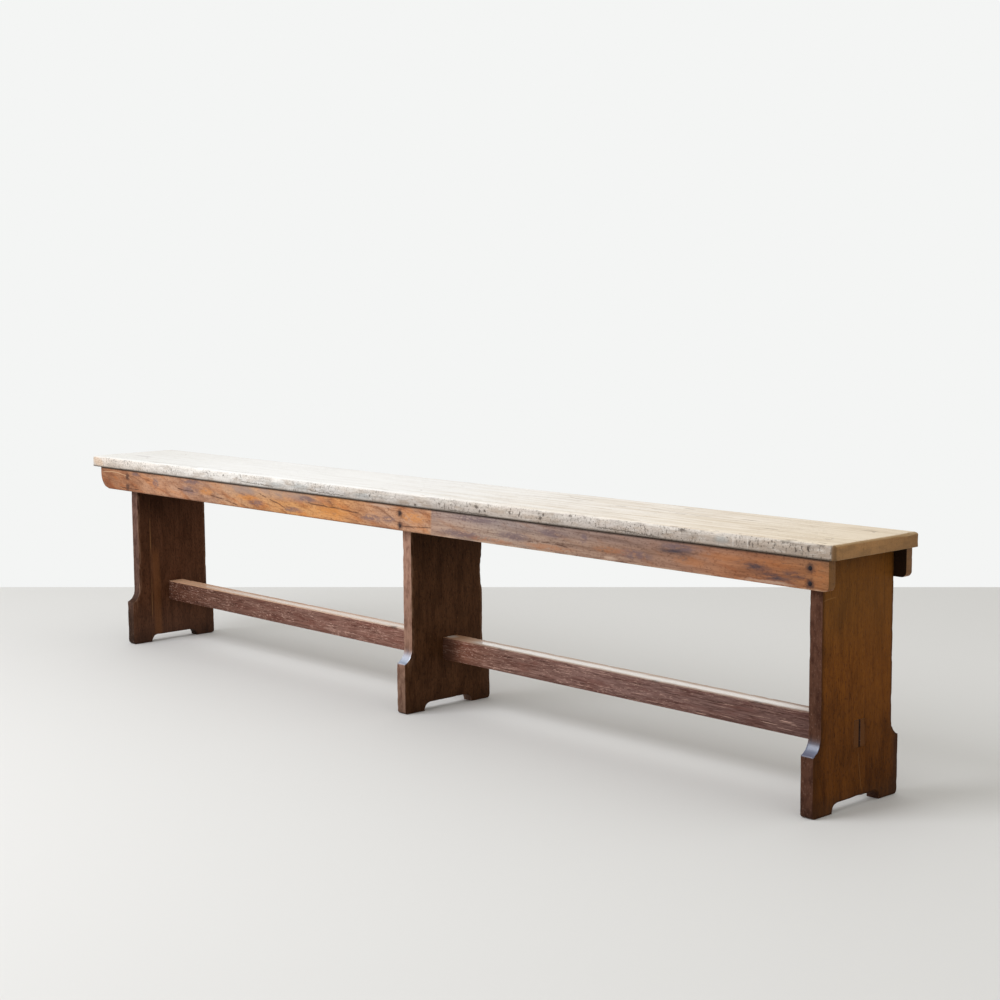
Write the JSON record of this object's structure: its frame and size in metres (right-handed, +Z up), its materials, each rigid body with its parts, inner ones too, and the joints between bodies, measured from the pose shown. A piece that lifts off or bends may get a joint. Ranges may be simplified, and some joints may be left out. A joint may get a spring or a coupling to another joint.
{
  "type": "refectory bench",
  "caption": "Long plank bench on board legs with hollowed shoulders, nailed side aprons and a wedged stretcher.",
  "frame": {"origin": "on the floor, under the middle of the seat", "axes": "+X along the bench to the end with the shorter overhang, +Y to the back, +Z up"},
  "size_m": [2.25, 0.231, 0.45],
  "materials": {
    "scrubbed_seat": "scrubbed and bleached by use, dry",
    "stained_apron": "stained and waxed, worn",
    "stained_leg": "dark stain under an old satin varnish",
    "stained_stretcher": "stained and varnished, worn on its arrises",
    "dark_wedge": "dark with age",
    "wrought_nail": "black iron"
  },
  "bodies": {
    "root": {"seat_board": "scrubbed_seat", "front_apron": "stained_apron", "back_apron": "stained_apron", "left_leg": "stained_leg", "middle_leg": "stained_leg", "right_leg": "stained_leg", "stretcher": "stained_stretcher", "left_tenon_wedge": "dark_wedge", "right_tenon_wedge": "dark_wedge", "front_apron_nails": "wrought_nail", "back_apron_nails": "wrought_nail", "seat_nails": "wrought_nail"}
  },
  "joints": []
}
